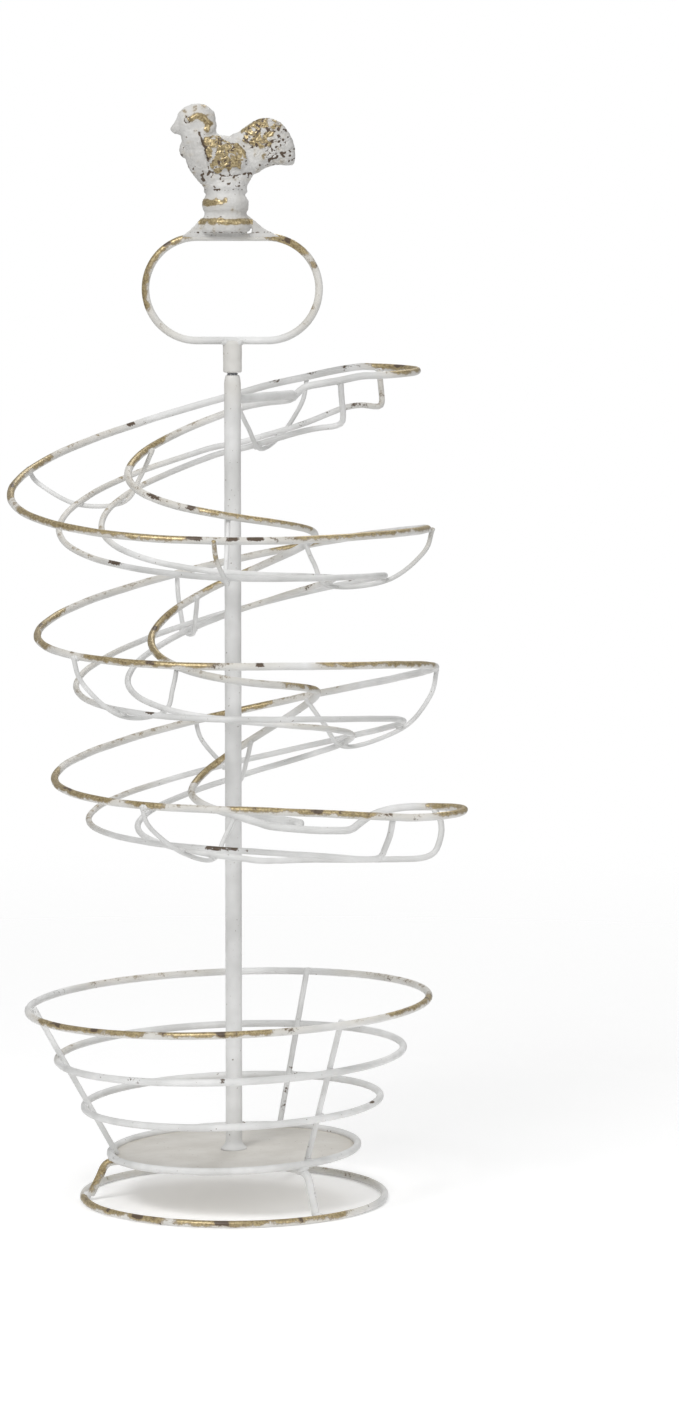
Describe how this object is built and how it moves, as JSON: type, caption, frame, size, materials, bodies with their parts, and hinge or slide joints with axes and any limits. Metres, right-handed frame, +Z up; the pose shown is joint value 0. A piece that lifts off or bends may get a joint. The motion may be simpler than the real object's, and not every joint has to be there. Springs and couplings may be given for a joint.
{
  "type": "egg holder tray",
  "caption": "Free-standing wire egg rack: a helical channel round a centre post, over a round basket base, with a loop handle and a cast rooster on top.",
  "frame": {"origin": "on the floor, at the centre of the foot ring and on the axis of the post", "axes": "+X to the right, +Y to the back, +Z up along the post"},
  "size_m": [0.1951, 0.1825, 0.47],
  "materials": {
    "white_paint": "distressed antique white paint with rubbed gold",
    "plate_paint": "off-white paint, satin",
    "gold_rubbed_paint": "antique white paint worn through to gold",
    "cast_paint": "antique white paint over a casting, gold on the raised details",
    "steel": "zinc plated thread"
  },
  "bodies": {
    "base": {"foot_ring": "white_paint", "leg_left": "white_paint", "leg_back": "white_paint", "leg_front": "white_paint", "plate_ring": "white_paint", "rib_left": "white_paint", "rib_back": "white_paint", "rib_front": "white_paint", "basket_ring_lower": "white_paint", "basket_ring_middle": "white_paint", "basket_rim": "white_paint", "post": "white_paint", "outer_top_rail": "white_paint", "inner_top_rail": "white_paint", "outer_lower_rail": "white_paint", "inner_lower_rail": "white_paint", "cradle_1": "white_paint", "cradle_2": "white_paint", "cradle_3": "white_paint", "cradle_4": "white_paint", "cradle_5": "white_paint", "cradle_6": "white_paint", "cradle_7": "white_paint", "cradle_8": "white_paint", "cradle_9": "white_paint", "top_arm": "white_paint", "bottom_arm": "white_paint", "base_plate": "plate_paint"},
    "stud": {"handle_stud": "steel"},
    "handle": {"handle_sleeve": "white_paint", "handle_ring": "gold_rubbed_paint", "rooster": "cast_paint"}
  },
  "joints": [
    {"name": "handle_turn", "type": "hinge", "parent": "stud", "child": "handle", "pos_m": [0, 0, 0.356], "axis": [0, 0, 1], "range_deg": [0, 3600]},
    {"name": "handle_lift", "type": "slide", "parent": "base", "child": "stud", "axis": [0, 0, 1], "range_m": [0, 0.008]}
  ],
  "couplings": [
    {"joint": "handle_lift", "follows": "handle_turn", "m_per_rad": 0.00012732}
  ]
}
